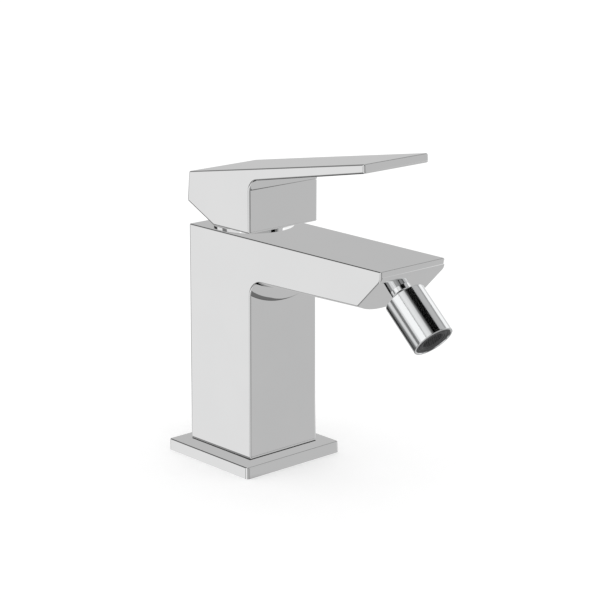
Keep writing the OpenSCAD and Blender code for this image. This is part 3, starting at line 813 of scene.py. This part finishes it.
def machined(name, light, dark, rough, centre_y=0.0):
    """Turned metal: fine rings round the vertical axis through centre_y."""
    def shade(tree):
        place = add(tree, "ShaderNodeMapping", None,
                    {"Vector": object_coordinates(tree), "Location": (0, -centre_y, 0)})
        rings = add(tree, "ShaderNodeTexWave", {"wave_type": "RINGS", "rings_direction": "Z"},
                    {"Vector": place, "Scale": 900.0, "Distortion": 0.6, "Detail": 2.0}, "Fac")
        tone = noise(tree, 120.0)
        bump = add(tree, "ShaderNodeBump", None, {"Strength": 0.25, "Distance": 0.00003, "Height": rings})
        return add(tree, "ShaderNodeBsdfPrincipled", None, {
            "Base Color": mix_colour(tree, tone.rise(0.3, 0.7), light + (1,), dark + (1,)),
            "Metallic": 1.0,
            "Roughness": rough + 0.1 * rings * tone,
            "Normal": bump,
        })
    return material(name, shade)


plug_outline = [(0, plug_lo.y), (plug_hi.x, plug_lo.y), (plug_hi.x, plug_hi.y - 0.35 * mm),
                (plug_hi.x - 0.35 * mm, plug_hi.y - 0.12 * mm), (plug_hi.x * 0.5, plug_hi.y - 0.03 * mm),
                (0, plug_hi.y)]
screw_plug = turned_piece("screw_plug_cap", plug_outline, backwards, 64)
dress(screw_plug, moulded("plug_plastic", (0.56, 0.57, 0.59), (0.52, 0.53, 0.55), 0.25, 160.0),
      "lever", "plug_plastic", "screw_plug")


# Nozzle
# A chromed brass neck screws into the sloping face and ends in a ball. A chromed sleeve turns and
# tilts on the ball, lined by a plastic seat and a rubber ring. The aerator screws into its mouth.

ball_centre = Vector((0.0, -111.3716, 101.4336)) * mm
neck_place = Matrix.Translation(ball_centre) @ Matrix.Rotation(math.radians(-45), 4, "X")
sleeve_place = Matrix.Translation(ball_centre) @ Matrix.Rotation(math.radians(-48), 4, "X")
ball_radius = 8 * mm
neck_radius = 5.2 * mm
ball_drop = 8.3 * mm
shank_radius = 4.95 * mm
shank_length = 5 * mm
way_radius = 3 * mm


def ball_arc(radius, start, end, steps):
    """Points of the ball's outline, by the angle from its own +Z, in degrees."""
    points = []
    for k in range(steps + 1):
        angle = math.radians(start + (end - start) * k / steps)
        points.append((radius * math.sin(angle), radius * math.cos(angle)))
    return points


ball_mouth = 180 - math.degrees(math.asin(way_radius / ball_radius))
neck_meets = math.degrees(math.asin(neck_radius / ball_radius))
nipple_outline = ball_arc(ball_radius, ball_mouth, neck_meets, 40)
nipple_outline += [
    (neck_radius, ball_drop),
    (shank_radius, ball_drop),
    (shank_radius, ball_drop + shank_length),
    (way_radius, ball_drop + shank_length),
]
ball_nipple = turned_piece("ball_nipple_turned", nipple_outline, neck_place, 120)
weighted(ball_nipple)
dress(ball_nipple, chrome("nozzle_chrome", 1.7), "root", "nozzle_chrome", "ball_nipple")
neck_wall = 0.5 * mm
neck_skin = neck_radius + 0.02 * mm
neck_outline = [(neck_radius - neck_wall, 0), (neck_skin, 0), (neck_skin, ball_drop),
                (neck_radius - neck_wall, ball_drop)]
neck = turned_piece("nozzle_neck", neck_outline, neck_place, 120)
dress(neck, bpy.data.materials["nozzle_chrome"], "root", "nozzle_chrome")

sleeve_radius = 10.35 * mm
sleeve_length = 25.9 * mm
rim_up = 3.6 * mm
sleeve_end = rim_up - sleeve_length
seat_bore = 8.35 * mm
seat_end = -9.6 * mm
aerator_radius = 9.35 * mm
lip_radius = 8.06 * mm
lip_angle = math.degrees(math.acos(rim_up / lip_radius))
rim_round = 0.45 * mm
end_round = 0.3 * mm


def quarter(centre_r, centre_h, radius, start, end, steps=5):
    """An arc of the sleeve's outline, by the angle from the outward direction, in degrees."""
    points = []
    for k in range(steps + 1):
        angle = math.radians(start + (end - start) * k / steps)
        points.append((centre_r + radius * math.cos(angle), centre_h + radius * math.sin(angle)))
    return points


sleeve_outline = quarter(sleeve_radius - rim_round, rim_up - rim_round, rim_round, 90, 0)
sleeve_outline += quarter(sleeve_radius - end_round, sleeve_end + end_round, end_round, 0, -90)
mouth_round = end_round * 0.6
sleeve_outline += quarter(aerator_radius + mouth_round, sleeve_end + mouth_round, mouth_round, -90, -180)
sleeve_outline += [(aerator_radius, seat_end), (seat_bore, seat_end), (seat_bore, 0.0)]
sleeve_outline += ball_arc(lip_radius, 90, lip_angle, 10)
swivel_sleeve = turned_piece("swivel_sleeve_turned", sleeve_outline, sleeve_place, 160)
weighted(swivel_sleeve)
dress(swivel_sleeve, bpy.data.materials["nozzle_chrome"], "nozzle", "nozzle_chrome", "swivel_sleeve")


# Aerator
# A black moulded cup in the sleeve's mouth, with a stepped face. Its core is a honeycomb of small
# cells that breaks the water up.

aerator_plastic = moulded("aerator_plastic", (0.036, 0.037, 0.039), (0.055, 0.056, 0.059), 0.45, 300.0)
cup_radius = 9.3 * mm
cup_face = sleeve_end + 0.3 * mm
cup_top = seat_end - 1.4 * mm
cup_wall = 1.3 * mm
outlet_radius = 6.2 * mm
step_radius = 7.6 * mm
cup_outline = [
    (cup_radius, cup_top), (cup_radius, cup_face + 0.15 * mm), (cup_radius - 0.15 * mm, cup_face),
    (step_radius + 0.25 * mm, cup_face), (step_radius + 0.1 * mm, cup_face + 0.25 * mm),
    (step_radius - 0.1 * mm, cup_face + 0.25 * mm), (step_radius - 0.25 * mm, cup_face),
    (outlet_radius + 0.2 * mm, cup_face), (outlet_radius, cup_face + 0.2 * mm),
    (outlet_radius, cup_face + 1 * mm), (cup_radius - cup_wall, cup_face + 1 * mm),
    (cup_radius - cup_wall, cup_top),
]
aerator_cup = turned_piece("aerator_cup", cup_outline, sleeve_place, 120)
dress(aerator_cup, aerator_plastic, "nozzle", "aerator_plastic", "aerator_housing")


def socket_in(tree, name, kind, value):
    item = tree.interface.new_socket(name=name, in_out="INPUT", socket_type=kind)
    if value is not None:
        item.default_value = value
    return item.identifier


def honeycomb_tree():
    """Hexagonal cells on staggered rows, trimmed to a circle."""
    tree = bpy.data.node_groups.new("honeycomb", "GeometryNodeTree")
    sockets = {
        "pitch": socket_in(tree, "Pitch", "NodeSocketFloat", 0.001),
        "cell_wall": socket_in(tree, "Cell wall", "NodeSocketFloat", 0.0002),
        "depth": socket_in(tree, "Depth", "NodeSocketFloat", 0.003),
        "reach": socket_in(tree, "Reach", "NodeSocketFloat", 0.005),
        "rows": socket_in(tree, "Rows", "NodeSocketInt", 13),
        "finish": socket_in(tree, "Finish", "NodeSocketMaterial", None),
    }
    tree.interface.new_socket(name="Geometry", in_out="OUTPUT", socket_type="NodeSocketGeometry")
    given = tree.nodes.new("NodeGroupInput")
    pitch, cell_wall, depth, reach, rows, finish = (Wire(tree, given.outputs[i]) for i in range(6))
    number = add(tree, "GeometryNodeInputIndex")
    row = (number / rows).math("FLOOR")
    column = number.math("MODULO", rows)
    half = (rows - 1) / 2
    stagger = row.math("MODULO", 2.0) * 0.5 - 0.25
    x = (column - half + stagger) * pitch
    y = (row - half) * pitch * math.sin(math.radians(60))
    spot = add(tree, "ShaderNodeCombineXYZ", None, {"X": x, "Y": y})
    inside = (x * x + y * y).math("LESS_THAN", reach * reach)
    points = add(tree, "GeometryNodePoints", None, {"Count": rows * rows, "Position": spot})
    kept = add(tree, "GeometryNodeSeparateGeometry", {"domain": "POINT"},
               {"Geometry": points, "Selection": inside})
    hexagon = add(tree, "GeometryNodeCurvePrimitiveCircle", {"mode": "RADIUS"},
                  {"Resolution": 6, "Radius": pitch * (0.5 / math.cos(math.radians(30)))})
    strip = add(tree, "GeometryNodeCurvePrimitiveQuadrilateral", {"mode": "RECTANGLE"},
                {"Width": cell_wall, "Height": depth})
    cell = add(tree, "GeometryNodeCurveToMesh", None, {"Curve": hexagon, "Profile Curve": strip})
    turned = add(tree, "GeometryNodeTransform", None,
                 {"Geometry": cell, "Rotation": (0, 0, math.radians(30))})
    cells = add(tree, "GeometryNodeInstanceOnPoints", None, {"Points": kept, "Instance": turned})
    real = add(tree, "GeometryNodeRealizeInstances", None, {"Geometry": cells})
    finished = add(tree, "GeometryNodeSetMaterial", None, {"Geometry": real, "Material": finish})
    result = tree.nodes.new("NodeGroupOutput")
    tree.links.new(finished.socket, result.inputs[0])
    return tree, sockets


comb_tree, comb_sockets = honeycomb_tree()
comb_values = {"pitch": 1.25 * mm, "cell_wall": 0.28 * mm, "depth": 2.4 * mm, "reach": 5.45 * mm,
               "rows": 13, "finish": aerator_plastic}
aerator_comb = mesh_object("aerator_honeycomb", bpy.data.meshes.new("aerator_honeycomb"))
comb = aerator_comb.modifiers.new("honeycomb", "NODES")
comb.node_group = comb_tree
for key, value in comb_values.items():
    comb[comb_sockets[key]] = value
applied(aerator_comb)
comb_place = sleeve_place @ Matrix.Translation((0, 0, cup_face + 0.5 * mm + comb_values["depth"] / 2))
aerator_comb.data.transform(comb_place)
core_bore = outlet_radius - 0.8 * mm
core_ring = [(outlet_radius - fit_gap, cup_face + 0.35 * mm), (outlet_radius - fit_gap, cup_face + 1 * mm),
             (cup_radius - cup_wall - fit_gap, cup_face + 1 * mm),
             (cup_radius - cup_wall - fit_gap, cup_top - 2.5 * mm),
             (core_bore, cup_top - 2.5 * mm), (core_bore, cup_face + 0.35 * mm)]
aerator_core = turned_piece("aerator_core_ring", core_ring, sleeve_place, 96)
backing_low = cup_face + 3.2 * mm
backing_high = cup_face + 3.8 * mm
backing_outline = [(0, backing_low), (core_bore, backing_low), (core_bore, backing_high), (0, backing_high)]
aerator_backing = turned_piece("aerator_backing", backing_outline, sleeve_place, 96)
dress(aerator_core, aerator_plastic, "nozzle", "aerator_plastic", "aerator_core")
for piece in (aerator_comb, aerator_backing):
    dress(piece, aerator_plastic, "nozzle", "aerator_plastic")


# Inner pieces
# The cartridge, its seals and the linkage keep their CAD shapes. Each gets the finish of its own
# stuff: turned brass, drawn steel, lapped ceramic, moulded plastic or black rubber.

rubber = moulded("rubber", (0.035, 0.035, 0.036), (0.05, 0.05, 0.05), 0.55, 220.0, 0.00008)
white_plastic = moulded("white_plastic", (0.80, 0.80, 0.78), (0.76, 0.76, 0.745), 0.36, 130.0)
turret_plastic = moulded("turret_plastic", (0.33, 0.35, 0.38), (0.29, 0.31, 0.34), 0.40, 130.0)
ceramic = moulded("ceramic", (0.88, 0.87, 0.84), (0.85, 0.84, 0.80), 0.12, 90.0, 0.00001)
brass = machined("brass", (0.80, 0.63, 0.33), (0.72, 0.55, 0.27), 0.22)
steel = machined("steel", (0.66, 0.66, 0.67), (0.58, 0.58, 0.60), 0.24)
screen_steel = machined("screen_steel", (0.60, 0.61, 0.62), (0.50, 0.51, 0.52), 0.32)
finishes = {
    "rubber": rubber,
    "white_plastic": white_plastic,
    "turret_plastic": turret_plastic,
    "ceramic": ceramic,
    "brass": brass,
    "steel": steel,
    "screen_steel": screen_steel,
}
slots = {row["node"]: row["material_slot"] for row in frame["record"]["subparts"]}
for node, piece in frame["nodes"].items():
    finish = finishes.get(slots[node])
    if finish:
        for holder in piece.material_slots:
            holder.material = finish

# A thin black rubber sheet under the column's foot: painted shade, which stands in for the shadow in the gap
# between column and plate and shows as a thin dark line all round the column
shade_sheet_inset = 0.35 * mm
foot_side = body_sides(0, foot_z) - shade_sheet_inset
foot_box = box_outline(-foot_side, -column_half + shade_sheet_inset, foot_side, column_half - shade_sheet_inset)
shade_sheet = extruded("painted_shade_sheet", foot_box, foot_z, foot_z + shade_gap_height, upright)
shade_sheet_bore = boss_radius + 0.1 * mm
cut(shade_sheet, turned_piece("shade_sheet_hole", [(0, 0), (shade_sheet_bore, 0), (shade_sheet_bore, 20 * mm), (0, 20 * mm)]))
smooth_mesh(shade_sheet.data)
dress(shade_sheet, rubber, "root", "rubber")

# The photograph's chrome shows the studio alone, so reflections leave out every piece but the neck,
# which shows again in the face it stands on
for piece in bpy.data.objects:
    if piece.type == "MESH" and piece is not neck:
        piece.visible_glossy = False
